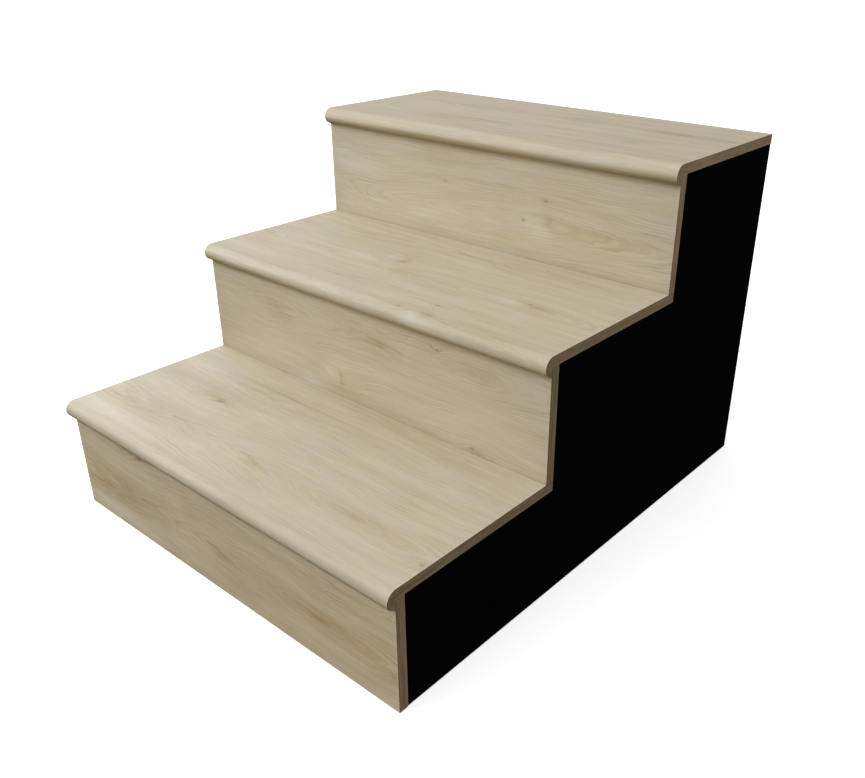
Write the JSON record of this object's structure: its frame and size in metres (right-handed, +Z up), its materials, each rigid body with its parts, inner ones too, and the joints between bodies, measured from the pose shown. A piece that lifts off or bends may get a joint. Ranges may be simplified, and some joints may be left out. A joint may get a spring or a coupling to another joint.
{
  "type": "three-step mounting block",
  "caption": "Closed wooden block of steps with round-nosed oak treads and oak risers on a black stepped carcass; a rider climbs it to reach the stirrup.",
  "frame": {"origin": "on the floor, in the middle of the block's footprint, nosing included", "axes": "+Z up; the rider climbs towards +Y, so the risers face -Y; +X is the rider's right, along the treads"},
  "size_m": [0.76, 0.929, 0.602],
  "materials": {
    "oak": "satin lacquered pale oak",
    "black_paint": "matte black paint on panel",
    "plywood": "bare plywood",
    "softwood": "bare planed softwood",
    "rubber": "matte",
    "steel": "zinc plated",
    "beech": "bare"
  },
  "bodies": {
    "root": {"back_panel": "black_paint", "back_panel_screws": "steel", "base_batten_centre": "softwood", "base_batten_left": "softwood", "base_batten_right": "softwood", "base_screws": "steel", "batten_screws": "steel", "centre_panel": "plywood", "cleat_centre_lower": "softwood", "cleat_centre_middle": "softwood", "cleat_centre_upper": "softwood", "cleat_left_lower": "softwood", "cleat_left_middle": "softwood", "cleat_left_upper": "softwood", "cleat_right_lower": "softwood", "cleat_right_middle": "softwood", "cleat_right_upper": "softwood", "cleat_screws": "steel", "cross_rail_lower": "softwood", "cross_rail_middle": "softwood", "foot_front_centre": "rubber", "foot_front_left": "rubber", "foot_front_right": "rubber", "foot_middle_centre": "rubber", "foot_middle_left": "rubber", "foot_middle_right": "rubber", "foot_rear_centre": "rubber", "foot_rear_left": "rubber", "foot_rear_right": "rubber", "foot_screws": "steel", "front_base_rail": "softwood", "nosing_lower": "oak", "nosing_middle": "oak", "nosing_upper": "oak", "rail_dowels": "beech", "rail_screws": "steel", "rear_base_rail": "softwood", "rear_batten_left": "softwood", "rear_batten_right": "softwood", "rear_top_rail": "softwood", "riser_batten_left_lower": "softwood", "riser_batten_left_middle": "softwood", "riser_batten_left_upper": "softwood", "riser_batten_right_lower": "softwood", "riser_batten_right_middle": "softwood", "riser_batten_right_upper": "softwood", "riser_dowels": "beech", "riser_lower": "oak", "riser_middle": "oak", "riser_screws": "steel", "riser_upper": "oak", "side_panel_left": "black_paint", "side_panel_right": "black_paint", "tread_lower": "oak", "tread_middle": "oak", "tread_screws": "steel", "tread_upper": "oak"}
  },
  "joints": []
}
